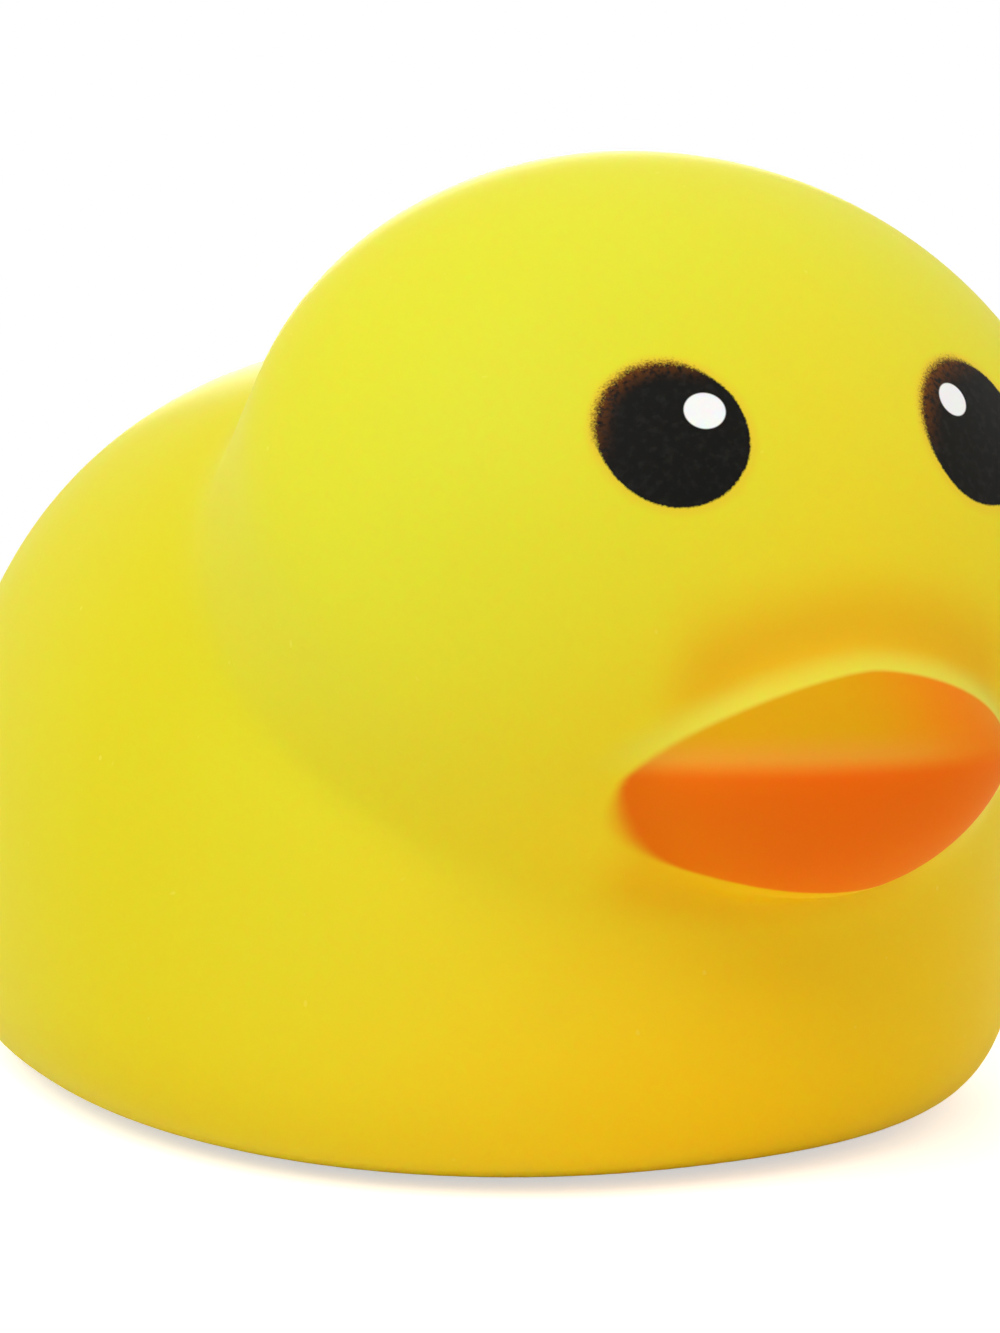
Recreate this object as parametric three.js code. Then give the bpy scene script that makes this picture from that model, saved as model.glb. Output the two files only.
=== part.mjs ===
// A squishy toy duck: one solid piece of soft foam, cast in a mould, standing on a flat base.
// Millimetres, +Z up. The bill points along -Y and the origin is the middle of the base.
import * as THREE from 'three';
import { mergeVertices } from 'three/addons/utils/BufferGeometryUtils.js';

// Body: a low, wide egg that the base cuts off below its widest level
const BODY_WIDTH = 73.2;
const BODY_LENGTH = 90;
const BODY_HEIGHT = 77.4;
const BODY_LEVEL = 15.3;
const BODY_FULLNESS = 2.24;

// Head: a round cap that faces forward and up, on a thick neck that slants back down into the body.
// The neck narrows so slowly that it would only end far below the base.
const HEAD_WIDTH = 57.4;
const HEAD_DEPTH = 52.4;
const HEAD_CAP = 21;
const HEAD_LEVEL = 41.3;
const HEAD_FORWARD = 31.6;
const NECK_LENGTH = 120;
const NECK_SLANT = 50;

// Bill: a plump lens with a roof above its lip and an underside below it
const BILL_WIDTH = 24.6;
const BILL_LENGTH = 23.2;
const BILL_ROOF_HEIGHT = 8.1;
const BILL_UNDERSIDE_DEPTH = 8.6;
const BILL_LEVEL = 28.3;
const BILL_FORWARD = 17.4;
const BILL_LIFT = 3.6;
const BILL_ROOF_FULLNESS = 1.3;
const BILL_UNDERSIDE_FULLNESS = 1.5;

// Tail: a short, broad, blunt paddle
const TAIL_WIDTH = 26;
const TAIL_LENGTH = 36;
const TAIL_HEIGHT = 14;
const TAIL_LEVEL = 33;
const TAIL_BACK = 33.5;
const TAIL_LIFT = 26;

// How far apart two surfaces still melt into each other
const NECK_BLEND = 2.5;
const BILL_BLEND = 3;
const TAIL_BLEND = 15;
const BASE_EDGE_BLEND = 11.6;

// Skin: how often each edge of the icosahedron that it starts from is cut, how much longer that
// icosahedron is than wide, so that bill and tail get more corners, and how true a corner lies
const SKIN_CUTS = 24;
const SKIN_STRETCH = 1.7;
const SKIN_TOLERANCE = 1e-6;

const FOAM_COLOUR = 0xe8d929;
const FOAM_ROUGHNESS = 0.45;

const ELLIPSOID = 2;
const ACROSS = new THREE.Vector3(1, 0, 0);

// A lobe is a superellipsoid leaned about X, whose upper and lower halves may differ. A fullness
// of 2 makes a plain ellipsoid, more makes it boxier, and less draws its rim out to an edge.
function lobe({ width, length, rise, drop, y, z, lean, plan, above = plan, below = plan }) {
  return {
    centre: new THREE.Vector3(0, y, z),
    lean: THREE.MathUtils.degToRad(lean),
    across: { reach: width / 2, power: plan },
    along: { reach: length / 2, power: plan },
    up: { reach: rise, power: above },
    down: { reach: drop, power: below },
  };
}

const body = lobe({
  width: BODY_WIDTH,
  length: BODY_LENGTH,
  rise: BODY_HEIGHT / 2,
  drop: BODY_HEIGHT / 2,
  y: 0,
  z: BODY_LEVEL,
  lean: 0,
  plan: BODY_FULLNESS,
});
const head = lobe({
  width: HEAD_WIDTH,
  length: HEAD_DEPTH,
  rise: HEAD_CAP,
  drop: NECK_LENGTH,
  y: -HEAD_FORWARD,
  z: HEAD_LEVEL,
  lean: NECK_SLANT,
  plan: ELLIPSOID,
});
const bill = lobe({
  width: BILL_WIDTH,
  length: BILL_LENGTH,
  rise: BILL_ROOF_HEIGHT,
  drop: BILL_UNDERSIDE_DEPTH,
  y: -HEAD_FORWARD - BILL_FORWARD,
  z: BILL_LEVEL,
  lean: -BILL_LIFT,
  plan: ELLIPSOID,
  above: BILL_ROOF_FULLNESS,
  below: BILL_UNDERSIDE_FULLNESS,
});
const tail = lobe({
  width: TAIL_WIDTH,
  length: TAIL_LENGTH,
  rise: TAIL_HEIGHT / 2,
  drop: TAIL_HEIGHT / 2,
  y: TAIL_BACK,
  z: TAIL_LEVEL,
  lean: TAIL_LIFT,
  plan: ELLIPSOID,
});

// How far a point lies outside a lobe, close to the true distance near the lobe's surface
function outside(point, { centre, lean, across, along, up, down }) {
  const local = point.clone().sub(centre).applyAxisAngle(ACROSS, -lean);
  const axes = [across, along, local.z > 0 ? up : down];
  let sum = 0;
  let slope = 0;
  axes.forEach(({ reach, power }, index) => {
    const share = Math.abs(local.getComponent(index)) / reach;
    sum += share ** power;
    slope += (power * share ** (power - 1) / reach) ** 2;
  });
  return 2 * (sum - Math.sqrt(sum)) / Math.sqrt(slope);
}

// The nearer of two surfaces, with the groove between them filled to a smooth valley
function melt(a, b, reach) {
  const overlap = Math.max(reach - Math.abs(a - b), 0) / reach;
  return Math.min(a, b) - overlap ** 3 * reach / 6;
}

// How far a point lies outside the whole duck
function outsideDuck(point) {
  const face = melt(outside(point, head), outside(point, bill), BILL_BLEND);
  const bird = melt(outside(point, body), face, NECK_BLEND);
  const tailed = melt(bird, outside(point, tail), TAIL_BLEND);
  return -melt(-tailed, point.z, BASE_EDGE_BLEND);
}

// Starts well outside the duck and moves along a ray, gap by gap, until it lies on the skin
function skinPoint(heart, direction) {
  const point = heart.clone().addScaledVector(direction, BODY_LENGTH);
  let gap = outsideDuck(point);
  while (Math.abs(gap) > SKIN_TOLERANCE) {
    point.addScaledVector(direction, -gap);
    gap = outsideDuck(point);
  }
  return point;
}

// The skin is an icosphere whose corners are pulled along their rays onto the duck's surface.
// Its heart lies half way between the middles of the head and the body, inside both.
function duckSkin() {
  const sphere = new THREE.IcosahedronGeometry(1, SKIN_CUTS);
  sphere.deleteAttribute('normal');
  sphere.deleteAttribute('uv');
  const skin = mergeVertices(sphere);
  const heart = head.centre.clone().lerp(body.centre, 0.5);
  const corners = skin.getAttribute('position');
  const corner = new THREE.Vector3();
  for (let index = 0; index < corners.count; index += 1) {
    corner.fromBufferAttribute(corners, index);
    corner.y *= SKIN_STRETCH;
    corners.setXYZ(index, ...skinPoint(heart, corner.normalize()));
  }
  skin.computeBoundingBox();
  const middle = skin.boundingBox.getCenter(new THREE.Vector3());
  skin.translate(0, -middle.y, -skin.boundingBox.min.z);
  skin.computeVertexNormals();
  return skin;
}

const foam = new THREE.MeshStandardMaterial({
  color: FOAM_COLOUR,
  roughness: FOAM_ROUGHNESS,
  metalness: 0,
});

const duck = new THREE.Mesh(duckSkin(), foam);
duck.name = 'duck';

const squishyDuck = new THREE.Group();
squishyDuck.add(duck);

export default squishyDuck;
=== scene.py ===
# %% [markdown]
# # A squishy toy duck
#
# The real duck is a single lump of soft foam, cast in a mould that gives it a thin satin skin. Its
# bill and its eyes are only paint. So this lesson makes one mesh whose shape follows a rule, paints
# it with nodes, and then sets up a white table, soft light and a camera.

# %% Load the measured model
import math

import bpy
from mathutils import Color, Matrix, Vector


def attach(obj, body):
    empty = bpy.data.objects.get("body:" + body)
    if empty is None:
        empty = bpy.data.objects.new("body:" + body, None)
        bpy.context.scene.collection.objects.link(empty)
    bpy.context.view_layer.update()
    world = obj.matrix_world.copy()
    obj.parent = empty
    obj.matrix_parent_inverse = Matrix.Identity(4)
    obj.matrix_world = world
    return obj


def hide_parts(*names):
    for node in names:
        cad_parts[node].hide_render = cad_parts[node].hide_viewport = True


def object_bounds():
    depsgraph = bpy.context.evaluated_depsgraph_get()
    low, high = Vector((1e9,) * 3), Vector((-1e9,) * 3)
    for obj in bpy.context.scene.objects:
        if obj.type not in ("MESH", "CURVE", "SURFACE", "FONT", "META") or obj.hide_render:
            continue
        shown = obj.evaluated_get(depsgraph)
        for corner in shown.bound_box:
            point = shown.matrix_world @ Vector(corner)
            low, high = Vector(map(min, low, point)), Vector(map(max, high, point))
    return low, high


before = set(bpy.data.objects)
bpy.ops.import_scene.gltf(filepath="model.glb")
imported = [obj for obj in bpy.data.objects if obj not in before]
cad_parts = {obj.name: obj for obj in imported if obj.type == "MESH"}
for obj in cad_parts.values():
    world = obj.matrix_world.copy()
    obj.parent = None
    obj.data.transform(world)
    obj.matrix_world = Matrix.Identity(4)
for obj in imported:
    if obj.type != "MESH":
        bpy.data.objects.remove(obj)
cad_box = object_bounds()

box_low, box_high = cad_box
print("width, length and height in metres:", *(round(side, 4) for side in box_high - box_low))

# %% [markdown]
# ## The camera
#
# The camera is set up before anything else, because every later choice is judged through it. It
# stands close to the table, ahead of the duck and a little to the duck's right, with a long lens.
# Turning a camera by typing three angles is guesswork. Here it is aimed: a helper turns its view,
# which runs along its own -Z axis, towards a point. The lamps use the same helper later.

# %% Place and aim the camera
CAMERA_TURN = -25.64
CAMERA_CLIMB = 5.5
CAMERA_DISTANCE = 0.2198
CAMERA_LENS_MM = 81.88
CAMERA_AIM = Vector((0, -0.0012, 0.0299))


def way_out(turn, climb):
    """The way from the duck to something that stands turn degrees round it and climb degrees up."""
    turn = math.radians(turn)
    climb = math.radians(climb)
    level = Vector((math.sin(turn), -math.cos(turn), 0))
    return level * math.cos(climb) + Vector((0, 0, math.sin(climb)))


def aim(holder, target, way, distance):
    """Stands a camera or lamp at a distance from a target, facing it."""
    holder.location = target + way * distance
    holder.rotation_euler = (-way).to_track_quat("-Z", "Y").to_euler()
    bpy.context.scene.collection.objects.link(holder)


camera = bpy.data.objects.new("camera", bpy.data.cameras.new("camera"))
camera.data.lens = CAMERA_LENS_MM
aim(camera, CAMERA_AIM, way_out(CAMERA_TURN, CAMERA_CLIMB), CAMERA_DISTANCE)
bpy.context.scene.camera = camera
bpy.context.scene.view_settings.view_transform = "Standard"
print("camera at", *(round(place, 4) for place in camera.location))

# %% [markdown]
# ## Sums that build nodes
#
# Both the shape and the paint are formulas. Drawn by hand in the node editor, a formula is a tangle
# of Math nodes. The class below wraps one socket, so that `a * b + 1` adds the nodes that work it
# out. Plain numbers are still summed by Python, and any other kind of node comes from `add`.

# %% A wire that can be used in sums
class Wire:
    """The end of a wire in a node tree. A sum with it adds the nodes that work it out."""

    def __init__(self, socket):
        self.socket = socket
        self.tree = socket.id_data

    @classmethod
    def add(cls, tree, kind, settings=None, inputs=None, output=0):
        """Adds any node: first its settings, then a value or a wire for each of its sockets."""
        node = tree.nodes.new(kind)
        for name, value in (settings or {}).items():
            setattr(node, name, value)
        for key, value in (inputs or {}).items():
            if isinstance(value, cls):
                tree.links.new(value.socket, node.inputs[key])
            else:
                node.inputs[key].default_value = value
        return cls(node.outputs[output]) if node.outputs else None

    def math(self, operation, *values):
        """A Math node, or a Vector Math node where this wire carries a vector."""
        kind = "ShaderNodeVectorMath" if self.socket.type == "VECTOR" else "ShaderNodeMath"
        return self.add(self.tree, kind, {"operation": operation}, dict(enumerate(values)))

    def __add__(self, other):
        return self.math("ADD", self, other)

    def __radd__(self, other):
        return self.math("ADD", other, self)

    def __sub__(self, other):
        return self.math("SUBTRACT", self, other)

    def __rsub__(self, other):
        return self.math("SUBTRACT", other, self)

    def __mul__(self, other):
        return self.math("MULTIPLY", self, other)

    def __rmul__(self, other):
        return self.math("MULTIPLY", other, self)

    def __truediv__(self, other):
        return self.math("DIVIDE", self, other)

    def __pow__(self, power):
        return self.math("POWER", self, power)

    def __neg__(self):
        return self.math("MULTIPLY", self, -1)

    def __abs__(self):
        return self.math("ABSOLUTE", self)

    def __gt__(self, other):
        return self.math("GREATER_THAN", self, other)

    def xyz(self):
        """The three parts of a vector."""
        first = self.add(self.tree, "ShaderNodeSeparateXYZ", inputs={"Vector": self})
        return [Wire(socket) for socket in first.socket.node.outputs]

    def dot(self, way):
        """How far this vector reaches along a way."""
        settings = {"operation": "DOT_PRODUCT"}
        return self.add(self.tree, "ShaderNodeVectorMath", settings, {0: self, 1: way}, "Value")

    def scaled(self, factor):
        """This vector, made longer or shorter."""
        settings = {"operation": "SCALE"}
        return self.add(self.tree, "ShaderNodeVectorMath", settings, {0: self, "Scale": factor})

    def fade(self, start, end):
        """Rises smoothly from 0 to 1 as this value goes from start to end."""
        settings = {"interpolation_type": "SMOOTHSTEP"}
        inputs = {"Value": self, "From Min": start, "From Max": end}
        return self.add(self.tree, "ShaderNodeMapRange", settings, inputs)

    def mix(self, under, over):
        """With this wire as a mask, the colour under where it is 0 and the one over where it is 1."""
        inputs = {"Factor": self, 6: under, 7: over}
        return self.add(self.tree, "ShaderNodeMix", {"data_type": "RGBA"}, inputs, 2)


# %% [markdown]
# ## The shape of the lump
#
# A mould maker would carve this duck from clay: an egg for the body, a round cap on a thick slanting
# neck for the head, a lens for the bill and a small paddle for the tail, with the grooves between
# them smoothed by a thumb. A sculpted mesh or metaballs could do that too, but with little say over
# the sizes. Here each lump is a superellipsoid, an ellipsoid with a chosen fullness, and its sizes
# are the mould's own.
#
# Sizes are in metres and angles in radians, and places are counted from the middle of the body. A
# lump rises above its middle and drops below it, and these two may differ: the head drops so far
# that its lower half is the neck. A fullness of 2 is a true ellipsoid, more is boxier, and less
# draws the rim out to an edge.

# %% Sizes of the four lumps
LUMPS = {
    "Body": {"Width": 0.0732, "Length": 0.09, "Rise": 0.0387, "Drop": 0.0387,
             "Place": 0, "Level": 0.0153, "Lean": 0,
             "Fullness": 2.24, "Roof Fullness": 2.24, "Underside Fullness": 2.24},
    "Head": {"Width": 0.0574, "Length": 0.0524, "Rise": 0.021, "Drop": 0.12,
             "Place": -0.0316, "Level": 0.0413, "Lean": math.radians(50),
             "Fullness": 2, "Roof Fullness": 2, "Underside Fullness": 2},
    "Bill": {"Width": 0.0246, "Length": 0.0232, "Rise": 0.0081, "Drop": 0.0086,
             "Place": -0.049, "Level": 0.0283, "Lean": math.radians(-3.6),
             "Fullness": 2, "Roof Fullness": 1.3, "Underside Fullness": 1.5},
    "Tail": {"Width": 0.026, "Length": 0.036, "Rise": 0.007, "Drop": 0.007,
             "Place": 0.0335, "Level": 0.033, "Lean": math.radians(26),
             "Fullness": 2, "Roof Fullness": 2, "Underside Fullness": 2},
}
SIZES = {"Neck Blend": 0.0012, "Breast Softening": 0.0025, "Nape Softening": 0.0016,
         "Bill Blend": 0.003, "Tail Blend": 0.015, "Base Blend": 0.0116}
for lump, lump_sizes in LUMPS.items():
    for name, value in lump_sizes.items():
        SIZES[f"{lump} {name}"] = value
print(len(SIZES), "named sizes for", len(LUMPS), "lumps")

# %% [markdown]
# The rule says how far a point lies outside the duck. For one lump it starts from the point's share
# of each half size, raised to the fullness and summed: that sum is 1 on the lump's surface. Divided
# by how steeply it climbs, it becomes a distance. The Math node's Smooth Minimum then takes the
# nearer of two lumps and fills the groove between them, as the thumb does. Turned inside out, the
# same node rounds the edge where the flat base cuts the body off. The crease below the head is tight
# on the side of the neck and fades out on the breast and at the nape, so the thumb is wider there.

# %% How far a point lies outside the duck
BREAST_CREASE = (-0.0365, -0.045)
NAPE_CREASE = (-0.029, -0.019)
print("the crease is tight from", NAPE_CREASE[0], "to", BREAST_CREASE[0], "m")


def pick(mask, chosen, other):
    """One number where the mask is 1 and another where it is 0."""
    return mask * chosen + (1 - mask) * other


def outside_lump(point, lump, size):
    """The distance from a point to one lump, true near its surface."""
    tree = point.tree
    x, y, z = point.xyz()
    offset = {"X": x, "Y": y - size(f"{lump} Place"), "Z": z - size(f"{lump} Level")}
    turn = {
        "Vector": Wire.add(tree, "ShaderNodeCombineXYZ", inputs=offset),
        "Angle": -size(f"{lump} Lean"),
    }
    local = Wire.add(tree, "ShaderNodeVectorRotate", {"rotation_type": "X_AXIS"}, turn).xyz()
    plan = size(f"{lump} Fullness")
    upper = local[2] > 0
    upright = pick(upper, size(f"{lump} Roof Fullness"), size(f"{lump} Underside Fullness"))
    height = pick(upper, size(f"{lump} Rise"), size(f"{lump} Drop"))
    halves = (size(f"{lump} Width") / 2, size(f"{lump} Length") / 2, height)
    terms = []
    slopes = []
    for place, half, power in zip(local, halves, (plan, plan, upright)):
        share = abs(place) / half
        terms.append(share ** power)
        slopes.append((power * share ** (power - 1) / half) ** 2)
    total = terms[0] + terms[1] + terms[2]
    slope = (slopes[0] + slopes[1] + slopes[2]) ** 0.5
    return 2 * (total - total ** 0.5) / slope


def melt(first, second, reach):
    """The nearer of two surfaces, with the groove between them filled."""
    return first.math("SMOOTH_MIN", first, second, reach)


def outside_duck(point, size):
    """The distance from a point to the whole duck, standing on its base."""
    body, head, bill, tail = (outside_lump(point, lump, size) for lump in LUMPS)
    face = melt(head, bill, size("Bill Blend"))
    place, level = point.xyz()[1:]
    breast = place.fade(*BREAST_CREASE) * size("Breast Softening")
    nape = place.fade(*NAPE_CREASE) * size("Nape Softening")
    bird = melt(body, face, size("Neck Blend") + breast + nape)
    tailed = melt(bird, tail, size("Tail Blend"))
    return -melt(-tailed, level, size("Base Blend"))


# %% [markdown]
# ## Pulling a skin over the rule
#
# Geometry Nodes turn the rule into a mesh. An icosphere, whose triangles are all much alike, starts
# well outside the duck. A repeat zone moves each of its corners towards the duck's heart by the
# distance that is left, again and again, until the corner lies on the skin. The heart is half way
# between the middles of head and body, and every part of the skin can be seen from there. The sphere
# is first drawn out along Y, which gives the bill and the tail more corners.

# %% Build the skin's node tree
SKIN_DETAIL = 7
SKIN_PULLS = 60
SKIN_STRETCH = Vector((1, 1.7, 1))
START_RADIUS = 0.09

foam = bpy.data.materials.new("painted foam")


def skin_tree():
    """A tree that makes the duck's skin, with an input for each size."""
    tree = bpy.data.node_groups.new("duck skin", "GeometryNodeTree")
    for name in SIZES:
        tree.interface.new_socket(name, in_out="INPUT", socket_type="NodeSocketFloat")
    tree.interface.new_socket("Skin", in_out="OUTPUT", socket_type="NodeSocketGeometry")
    sizes = tree.nodes.new("NodeGroupInput")

    def size(name):
        """The wire that brings in one of the sizes."""
        return Wire(sizes.outputs[name])

    heart_place = {
        "Y": (size("Head Place") + size("Body Place")) / 2,
        "Z": (size("Head Level") + size("Body Level")) / 2,
    }
    heart = Wire.add(tree, "ShaderNodeCombineXYZ", inputs=heart_place)
    position = Wire.add(tree, "GeometryNodeInputPosition")
    ball = Wire.add(tree, "GeometryNodeMeshIcoSphere", inputs={"Subdivisions": SKIN_DETAIL})
    drawn_out = position * SKIN_STRETCH
    outward = drawn_out.math("NORMALIZE", drawn_out)
    start = {"Geometry": ball, "Position": heart + outward.scaled(START_RADIUS)}
    wide_ball = Wire.add(tree, "GeometryNodeSetPosition", inputs=start)

    again = tree.nodes.new("GeometryNodeRepeatInput")
    done = tree.nodes.new("GeometryNodeRepeatOutput")
    again.pair_with_output(done)
    again.inputs["Iterations"].default_value = SKIN_PULLS
    tree.links.new(wide_ball.socket, again.inputs["Geometry"])
    inward = heart - position
    step = inward.math("NORMALIZE", inward).scaled(outside_duck(position, size))
    pull = {"Geometry": Wire(again.outputs["Geometry"]), "Offset": step}
    pulled = Wire.add(tree, "GeometryNodeSetPosition", inputs=pull)
    tree.links.new(pulled.socket, done.inputs["Geometry"])

    skin = Wire(done.outputs["Geometry"])
    skin = Wire.add(tree, "GeometryNodeSetShadeSmooth", inputs={"Geometry": skin})
    skin = Wire.add(tree, "GeometryNodeRealizeInstances", inputs={"Geometry": skin})
    skin = Wire.add(tree, "GeometryNodeSetMaterial", inputs={"Geometry": skin, "Material": foam})
    Wire.add(tree, "NodeGroupOutput", inputs={"Skin": skin})
    return tree


duck_rule = skin_tree()
print("the skin's tree has", len(duck_rule.nodes), "nodes")

# %% [markdown]
# The tree runs once, as a modifier whose inputs hold the sizes. Its result becomes a plain mesh, so
# that the finished duck doesn't depend on the nodes. The rule counts from the middle of the body, but
# the measured model counts from the middle of its box, so the skin slides along Y until its middle is
# there too.

# %% Make the skin a plain mesh
duck = bpy.data.objects.new("foam_duck", bpy.data.meshes.new("blank"))
bpy.context.scene.collection.objects.link(duck)
modifier = duck.modifiers.new("duck skin", "NODES")
modifier.node_group = duck_rule
for item in duck_rule.interface.items_tree:
    if item.in_out == "INPUT":
        modifier[item.identifier] = float(SIZES[item.name])
made = duck.evaluated_get(bpy.context.evaluated_depsgraph_get())
skin = bpy.data.meshes.new_from_object(made)
duck.modifiers.remove(modifier)
duck.data = skin
skin.name = "foam_duck"

lengthwise = [corner.co.y for corner in skin.vertices]
slide = (box_low.y + box_high.y - min(lengthwise) - max(lengthwise)) / 2
skin.transform(Matrix.Translation((0, slide, 0)))
print(len(skin.polygons), "triangles, slid", round(slide, 5), "m along Y")

# %% [markdown]
# The skin stands for the plain solid of the measured model. It has no joint, so it rides on the one
# body there is. The foam is full and springs back, which counts as a tight filling.

# %% Put the skin in the solid's place
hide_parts("duck")
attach(duck, "root")
print(duck.name, "stands for the solid duck")

# %% [markdown]
# ## The foam's colour
#
# The yellow isn't one colour. It is lemon on the crown and the flanks, paler and bluer on the head
# than on the back as a painted highlight, and deepens to gold towards the base, the breast, the
# duck's left and where the skin faces down: that gold is painted shade. Vertex colours could show
# that, but the paint below needs a finer grain than the mesh has, so everything is mixed in the
# shader, from the place of each point on the duck. One number says how golden it is: a height that
# also grows backwards, away from the middle, where the skin faces up and, for the tilt, from left
# to right.

# %% Mix the yellow
BREAST = -0.02
SLANT = 0.25
SIDE = 0.87
SHADE_TILT = 0.6
SHADE_BY_FACING = 0.0143
LEMON_LEVEL = 0.0873
PAINTED_SHADE_LEVEL = -0.0279
NAPE = -0.0106
FACE = -0.04

foam.use_nodes = True
paint = foam.node_tree
paint.nodes.clear()
here = Wire.add(paint, "ShaderNodeTexCoord", output="Object")


def screen(red, green, blue):
    """A colour as a colour picker shows it, from 0 to 255, made linear for a shader."""
    picked = Color((red / 255, green / 255, blue / 255))
    return (*picked.from_srgb_to_scene_linear(), 1)


BACK_LEMON = screen(211, 199, 27)
HEAD_LEMON_HIGHLIGHT = screen(211, 210, 50)
PAINTED_SHADE_GOLD = screen(246, 196, 9)

x, y, z = here.xyz()
facing_up = Wire.add(paint, "ShaderNodeTexCoord", output="Normal").xyz()[2]
# Painted highlight: the head is a paler, bluer lemon than the back.
lemon = y.fade(NAPE, FACE).mix(BACK_LEMON, HEAD_LEMON_HIGHLIGHT)
# Painted shade: a low level turns the yellow gold low down, at the breast, on the duck's left and where
# the skin faces down.
level = z + (y - BREAST) * SLANT + abs(x) * SIDE - x * SHADE_TILT + facing_up * SHADE_BY_FACING
print("gold, as the shader gets it:", *(round(part, 3) for part in PAINTED_SHADE_GOLD[:3]))

# %% [markdown]
# A smooth run of colour looks printed. Noise that shifts the level a little makes a faint mottle, and
# a much finer noise, of which only the peaks are used, leaves the few faint pinholes that such skins
# have.

# %% Mottle the yellow
MOTTLE_GRAIN = 0.012
MOTTLE = 0.012
FLECK_GRAIN = 0.0007
FLECK_PEAKS = (0.86, 0.92)
FLECK_STRENGTH = 0.2
FLECK = screen(246, 236, 120)


def noise(grain, detail=2):
    """Noise from 0 to 1 with spots about as wide as the grain."""
    inputs = {"Vector": here, "Scale": 1 / grain, "Detail": detail}
    return Wire.add(paint, "ShaderNodeTexNoise", inputs=inputs, output="Fac")


mottled = level + (noise(MOTTLE_GRAIN) - 0.5) * MOTTLE
# The gold is painted shade.
colour = mottled.fade(LEMON_LEVEL, PAINTED_SHADE_LEVEL).mix(lemon, PAINTED_SHADE_GOLD)
flecks = noise(FLECK_GRAIN, 0).fade(*FLECK_PEAKS)
colour = (flecks * FLECK_STRENGTH).mix(colour, FLECK)
print("the yellow takes", len(paint.nodes), "nodes")

# %% [markdown]
# ## The bill's paint
#
# The bill is sprayed through a mask, which leaves an almond of orange seen from the front. A picture
# of the almond could be projected onto the skin, but its edge would be no finer than its pixels. A
# formula has no pixels. This one is below 1 inside the almond, and is then turned into metres beyond
# its edge, so that the edge can be as soft as the spray's: sharp along the top, and softer below the
# corners of the mouth, where the mask stood off.

# %% Mask the bill
BILL_HALF_WIDTH = 0.0132
BILL_MIDDLE = 0.0273
BILL_TOP = 0.034
BILL_BOTTOM = 0.0206
BILL_TOP_FULLNESS = 1.6
BILL_BOTTOM_FULLNESS = 2.15
BILL_EDGE = 0.00012
CORNER_EDGE = 0.0004
CORNER_START = 0.008
CORNER_RISE = (0.0008, -0.003)
FACE_FRONT = (-0.03, -0.031)

rise = z - BILL_MIDDLE
upper = rise > 0
half_height = pick(upper, BILL_TOP - BILL_MIDDLE, BILL_MIDDLE - BILL_BOTTOM)
fullness = pick(upper, BILL_TOP_FULLNESS, BILL_BOTTOM_FULLNESS)
almond = (abs(x) / BILL_HALF_WIDTH) ** fullness + (abs(rise) / half_height) ** fullness
beyond = (almond ** (1 / BILL_BOTTOM_FULLNESS) - 1) * half_height
corner = abs(x).fade(CORNER_START, BILL_HALF_WIDTH) * rise.fade(*CORNER_RISE)
softness = BILL_EDGE + corner * CORNER_EDGE
ahead = y.fade(*FACE_FRONT)
bill = beyond.fade(softness, -softness) * ahead
print("almond in metres:", round(2 * BILL_HALF_WIDTH, 4), "by", round(BILL_TOP - BILL_BOTTOM, 4))

# %% [markdown]
# Round the bill lies a ring of golden-orange painted shade: above it, where the face curves down
# into the groove over the bill, and below it, as the bill's painted shadow on the chest. Right beside
# the upper edge a narrow band of paler, bluer yellow is a painted highlight on the fillet that faces
# up, so the shade is strongest a little way out.

# %% Paint shade round the bill and a highlight above it
BILL_SHADE_PEAK = 0.0012
BILL_SHADE_REACH_ABOVE = 0.005
BILL_SHADE_REACH_BELOW = 0.0042
BILL_SHADE_ABOVE = 0.45
BILL_SHADE_BELOW = 0.36
BILL_SHADE_HALF_WIDTH = 0.009
BAND_HIGHLIGHT_RISE = 0.003
BILL_SHADE_ORANGE = screen(226, 140, 0)
BAND_HIGHLIGHT = screen(216, 203, 64)

reach = pick(upper, BILL_SHADE_REACH_ABOVE, BILL_SHADE_REACH_BELOW)
# Painted shade and painted shadow round the bill.
painted_bill_shade = beyond.fade(reach, BILL_SHADE_PEAK) * abs(x).fade(BILL_HALF_WIDTH, BILL_SHADE_HALF_WIDTH) * ahead
painted_bill_shade = painted_bill_shade * pick(upper, BILL_SHADE_ABOVE, BILL_SHADE_BELOW)
# Painted highlight on the lit fillet just above the bill's upper edge.
band_highlight = beyond.fade(BILL_SHADE_PEAK, 0) * rise.fade(0, BAND_HIGHLIGHT_RISE) * ahead
colour = band_highlight.mix(painted_bill_shade.mix(colour, BILL_SHADE_ORANGE), BAND_HIGHLIGHT)
print("the mist reaches", BILL_SHADE_REACH_ABOVE, "m above the bill")

# %% [markdown]
# Inside the almond the orange is deep below the lip. The roof, which faces up, is painted a lighter
# orange as painted light, and this deepens towards the duck's left as painted shade, where the roof
# turns away from the lamp. The underside is a paler orange towards the duck's right. Along the lip a
# soft peach line is a painted highlight on the rounded rim. The lip is where the bill's own lump has
# its rim, so its sizes say how high a point lies above it.

# %% Colour the bill
LIP_SOFTNESS = 0.0007
LIP_HIGHLIGHT_HEIGHTS = (0.0022, 0.0002)
LIP_HIGHLIGHT_ACROSS = (0.008, -0.004)
LIP_HIGHLIGHT = 0.5
ROOF_SHADE_DRIFT = (-0.004, 0.0065)
ROOF_SHADE = 0.8
UNDERSIDE_DRIFT = (-0.011, -0.002)
PALER_UNDERSIDE_ORANGE = screen(223, 109, 8)
LIT_ROOF_ORANGE = screen(206, 154, 6)
ORANGE = screen(228, 106, 8)
LIP_HIGHLIGHT_PEACH = screen(224, 138, 56)

lip = LUMPS["Bill"]
above_lip = (z - lip["Level"]) - (y - slide - lip["Place"]) * math.tan(lip["Lean"])
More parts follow.
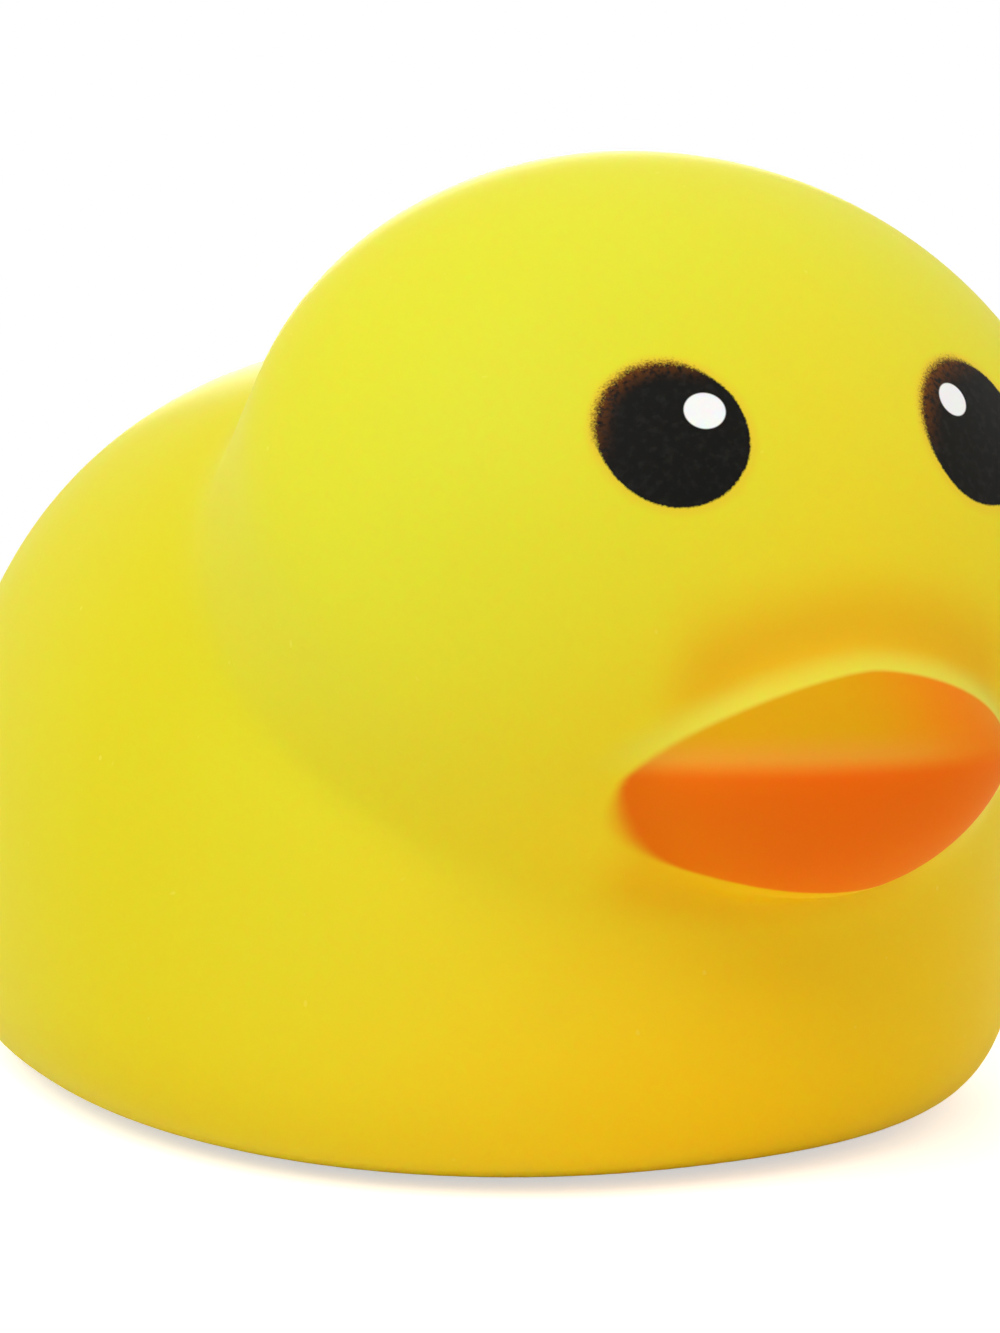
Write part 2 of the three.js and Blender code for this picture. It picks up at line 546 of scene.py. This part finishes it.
# Painted highlight: a peach line along the rounded lip.
lip_highlight = above_lip.fade(*LIP_HIGHLIGHT_HEIGHTS) * x.fade(*LIP_HIGHLIGHT_ACROSS)
# Painted light on the roof, with painted shade deepening it towards the duck's left.
roof_colour = (x.fade(*ROOF_SHADE_DRIFT) * ROOF_SHADE).mix(LIT_ROOF_ORANGE, ORANGE)
roof_colour = (lip_highlight * LIP_HIGHLIGHT).mix(roof_colour, LIP_HIGHLIGHT_PEACH)
# The underside is a paler orange towards the duck's right.
underside_colour = x.fade(*UNDERSIDE_DRIFT).mix(PALER_UNDERSIDE_ORANGE, ORANGE)
bill_colour = above_lip.fade(-LIP_SOFTNESS, LIP_SOFTNESS).mix(underside_colour, roof_colour)
colour = bill.mix(colour, bill_colour)
print("lip at", lip["Level"], "m")

# %% [markdown]
# ## The eyes' paint
#
# Each eye is an oval of black, sprayed through a hole. It could be a disc of its own, but paint has no
# thickness, so it is a mask again. A ray cast from the front finds where the middle of the eye lies on
# the skin and which way the skin faces there. On that little plane the oval is a plain ellipse.

# %% Find the eye's place on the skin
EYE_ACROSS = 0.01025
EYE_LEVEL = 0.04747
AHEAD = -0.2
EYE_DEPTH = (-0.006, -0.004)

graph = bpy.context.evaluated_depsgraph_get()
ray_start = Vector((EYE_ACROSS, AHEAD, EYE_LEVEL))
eye_place, eye_way = duck.ray_cast(ray_start, Vector((0, 1, 0)), depsgraph=graph)[1:3]
eye_side = Vector((0, 0, 1)).cross(eye_way).normalized()
eye_top = eye_way.cross(eye_side)

left = x > 0
mirrored = Wire.add(paint, "ShaderNodeCombineXYZ", inputs={"X": abs(x), "Y": y, "Z": z})
from_eye = mirrored - eye_place
across = from_eye.dot(eye_side)
up = from_eye.dot(eye_top)
front = from_eye.dot(eye_way).fade(*EYE_DEPTH)
print("eye at", *(round(part, 4) for part in eye_place), "facing", *(round(part, 2) for part in eye_way))

# %% [markdown]
# The two eyes mirror each other, so one formula on the distance from the middle plane paints both,
# with a small slip for each. An oval is given by its middle, its half sizes and its tilt. The edge is
# crisp below. Above, and on the duck's right, the spray drifted: there the edge breaks up into grain
# and the black thins to brown.

# %% Spray the eyes
RIGHT_EYE = (-0.00008, 0.00018, 0.0046, 0.00441, 0.761)
LEFT_EYE = (0.00071, 0.0002, 0.00497, 0.00444, 0.998)
EYE_WOBBLE_GRAIN = 0.0016
EYE_WOBBLE = 0.00012
EYE_EDGE = 0.00007
DRIFT_TO_RIGHT = 0.62
DRIFT_UP = 0.78
DRIFT_REACH = (0.0008, 0.0042)
DRIFT_SPREAD = 0.00014
DRIFT_SOFTNESS = 0.00026
EYE_GRAIN = 0.00013
GRAIN_DEPTH = 0.00104
CRISP_GRAIN = 0.2


def oval(middle_across, middle_up, half_long, half_short, tilt):
    """How far a point of the face lies outside an oval on the eye's plane, in metres."""
    beside = across - middle_across
    above = up - middle_up
    along = (beside * math.cos(tilt) + above * math.sin(tilt)) / half_long
    athwart = (above * math.cos(tilt) - beside * math.sin(tilt)) / half_short
    return ((along * along + athwart * athwart) ** 0.5 - 1) * half_short


rim = pick(left, oval(*LEFT_EYE), oval(*RIGHT_EYE)) + (noise(EYE_WOBBLE_GRAIN) - 0.5) * EYE_WOBBLE
to_right = across * (1 - 2 * left)
sprayed = (to_right * DRIFT_TO_RIGHT + up * DRIFT_UP).fade(*DRIFT_REACH)
edge = EYE_EDGE + sprayed * DRIFT_SOFTNESS
grain = (noise(EYE_GRAIN, 3) - 0.5) * (CRISP_GRAIN + sprayed * (1 - CRISP_GRAIN)) * GRAIN_DEPTH
eye = (rim - sprayed * DRIFT_SPREAD + grain).fade(edge, -edge) * front
print("the right eye is", round(2 * RIGHT_EYE[2], 4), "m long")

# %% [markdown]
# Under the black, a narrow halo of thinned spray warms the yellow. Where the spray drifted, brown
# breaks up the rim of the black, in grains and not as a smooth ring, and the black itself is a little
# uneven. A ramp alone would give clean rings, so each of these is a ramp times a noise of its own.

# %% Colour the eyes
HALO_WIDTH = 0.0008
HALO_ALL_ROUND = 0.3
HALO_DRIFTED = 0.3
RIGHT_BROWN_DEPTH = 0.0013
LEFT_BROWN_DEPTH = 0.0019
BROWN_END = 0.0002
BROWN_GRAIN = 0.0003
BROWN_PEAKS = (0.3, 0.6)
SPECK_GRAIN = 0.0005
SPECK_PEAKS = (0.45, 0.75)
BLACK = screen(20, 20, 18)
DULL_BLACK = screen(31, 30, 28)
BROWN = screen(100, 54, 14)
HALO = screen(222, 164, 50)

halo = rim.fade(HALO_WIDTH, 0) * (HALO_ALL_ROUND + sprayed * HALO_DRIFTED) * front
brown = rim.fade(-pick(left, LEFT_BROWN_DEPTH, RIGHT_BROWN_DEPTH), BROWN_END) * sprayed
brown = brown * noise(BROWN_GRAIN, 3).fade(*BROWN_PEAKS)
black = noise(SPECK_GRAIN, 3).fade(*SPECK_PEAKS).mix(BLACK, DULL_BLACK)
colour = eye.mix(halo.mix(colour, HALO), brown.mix(black, BROWN))
print("the halo is", HALO_WIDTH, "m wide")

# %% [markdown]
# A dot of white gives each eye its glint. It is paint too, so it stays where it is when the camera
# moves, unlike a real reflection. The dots were dabbed by hand and don't quite mirror each other.

# %% Dab the glints
RIGHT_GLINT = (-0.00201, 0.00161, 0.00125, 0.00115, -0.21)
LEFT_GLINT = (-0.00055, 0.00225, 0.00117, 0.00108, 0.64)
GLINT_EDGE = 0.00005
WHITE = screen(230, 232, 231)

glint_rim = pick(left, oval(*LEFT_GLINT), oval(*RIGHT_GLINT))
glint = glint_rim.fade(GLINT_EDGE, -GLINT_EDGE) * front
colour = glint.mix(colour, WHITE)
print("the right glint is", round(2 * RIGHT_GLINT[2], 4), "m long")

# %% [markdown]
# ## The skin's finish
#
# Cast foam is neither glossy nor matt: lamps leave broad, soft patches on it, and some of the light
# sinks in and comes back out beside where it went in. The shader's subsurface part does that. The
# roughness wanders a little and is higher on the bill's paint. A bump for the pores of the skin would
# be the next thing to try, but they are too fine to show from here, and with light inside the skin a
# bump makes every render a quarter slower, so it is left out. Everything that is the same all over is
# set on the shader itself.

# %% Finish the foam
SATIN = 0.4
SMEAR = 0.12
SMEAR_GRAIN = 0.02
PAINT_DULLNESS = 0.2
LIGHT_DEPTH = 0.002
DEPTH_BY_COLOUR = (1.0, 0.35, 0.15)
SHEEN = 0.04

finish = {
    "Base Color": colour,
    "Roughness": SATIN + noise(SMEAR_GRAIN) * SMEAR + bill * PAINT_DULLNESS,
    "Subsurface Weight": 1.0,
    "Subsurface Radius": DEPTH_BY_COLOUR,
    "Subsurface Scale": LIGHT_DEPTH,
    "Specular IOR Level": SHEEN,
}
surface = Wire.add(paint, "ShaderNodeBsdfPrincipled", inputs=finish)
Wire.add(paint, "ShaderNodeOutputMaterial", inputs={"Surface": surface})
print("the painted foam has", len(paint.nodes), "nodes")

# %% [markdown]
# ## The table and the room
#
# Studio shots of toys stand on a white sweep: paper that curves up behind them. A flat floor does as
# well here, because its far end is white too. It is one square.

# %% Lay the floor
FLOOR_HALF = 3.0

floor_mesh = bpy.data.meshes.new("floor")
corners = [(-1, -1), (1, -1), (1, 1), (-1, 1)]
floor_mesh.from_pydata([(FLOOR_HALF * a, FLOOR_HALF * b, 0) for a, b in corners], [], [(0, 1, 2, 3)])
floor = bpy.data.objects.new("floor", floor_mesh)
bpy.context.scene.collection.objects.link(floor)
print("floor of", 2 * FLOOR_HALF, "m a side")

# %% [markdown]
# The floor is matt and takes the duck's shadow. More light on it would bleach the duck as well, so a
# little glow, which only the camera sees, lifts its white to the white of the room, and no horizon
# shows. Further out the glow takes over.

# %% Whiten the floor
SHADOW_REACH = (0.12, 0.3)
FLOOR_WHITE = (0.9, 0.9, 0.9, 1)
FLOOR_GLOW = 0.56
WHITE_LIGHT = (1, 1, 1, 1)


def seen(tree, *kinds):
    """1 where a ray of one of these kinds looks, and 0 for the light that falls on things."""
    path = Wire.add(tree, "ShaderNodeLightPath").socket.node
    mask = Wire(path.outputs[kinds[0]])
    for kind in kinds[1:]:
        mask = mask.math("MAXIMUM", mask, Wire(path.outputs[kind]))
    return mask


sweep = bpy.data.materials.new("white sweep")
sweep.use_nodes = True
tree = sweep.node_tree
tree.nodes.clear()
spot = Wire.add(tree, "ShaderNodeTexCoord", output="Object")
far = (spot.dot(spot) ** 0.5).fade(*SHADOW_REACH)
looked_at = seen(tree, "Is Camera Ray")
glow = {"Color": WHITE_LIGHT, "Strength": looked_at * FLOOR_GLOW}
matt = Wire.add(tree, "ShaderNodeBsdfDiffuse", inputs={"Color": FLOOR_WHITE})
lifted = {0: matt, 1: Wire.add(tree, "ShaderNodeEmission", inputs=glow)}
near_floor = Wire.add(tree, "ShaderNodeAddShader", inputs=lifted)
white = Wire.add(tree, "ShaderNodeEmission", inputs={"Color": WHITE_LIGHT})
blend = {0: far * looked_at, 1: near_floor, 2: white}
Wire.add(tree, "ShaderNodeOutputMaterial", inputs={
    "Surface": Wire.add(tree, "ShaderNodeMixShader", inputs=blend),
})
floor_mesh.materials.append(sweep)
print("the glow takes over", SHADOW_REACH[1], "m out")

# %% [markdown]
# The room is white where a camera ray or a reflection meets it. As a light it is little more than
# half as bright, which keeps the shaded side of the duck soft and leaves the rest to the lamps.

# %% Paint the room
ROOM_LIGHT = 0.57

room = bpy.data.worlds.new("white room")
bpy.context.scene.world = room
room.use_nodes = True
tree = room.node_tree
tree.nodes.clear()
seen_room = seen(tree, "Is Camera Ray", "Is Glossy Ray", "Is Transmission Ray")
light = {"Color": WHITE_LIGHT, "Strength": ROOM_LIGHT + seen_room * (1 - ROOM_LIGHT)}
background = Wire.add(tree, "ShaderNodeBackground", inputs=light)
Wire.add(tree, "ShaderNodeOutputWorld", inputs={"Surface": background})
print("the room lights the duck at", ROOM_LIGHT)

# %% [markdown]
# ## The lamps
#
# One large soft lamp stands high on the left of the picture. It draws the broad patch on the head and
# leaves the right side and the chest in gold shade. A weak, slightly warm one on the right lifts that
# shade, as light from a wall would, and a low one behind the duck keeps its far side from looking
# dull. Their size matters more than their strength: a small lamp would make a hard spot on the satin
# skin.

# %% Hang the lamps
DUCK_MIDDLE = (box_low + box_high) / 2
LAMP_DISTANCE = 0.9
PLAIN = (1, 1, 1)
WARM = (1, 0.8, 0.5)


def lamp(name, turn, climb, width, watts, tint=PLAIN):
    """A round soft lamp that faces the duck."""
    light = bpy.data.lights.new(name, "AREA")
    light.shape = "DISK"
    light.size = width
    light.energy = watts
    light.color = tint
    aim(bpy.data.objects.new(name, light), DUCK_MIDDLE, way_out(turn, climb), LAMP_DISTANCE)
    print(name, "lamp:", watts, "W at", LAMP_DISTANCE, "m")


lamp("key", turn=-55, climb=50, width=0.7, watts=5.5)
lamp("fill", turn=60, climb=40, width=0.7, watts=0.9, tint=WARM)
lamp("back", turn=156, climb=12, width=0.4, watts=3.4)
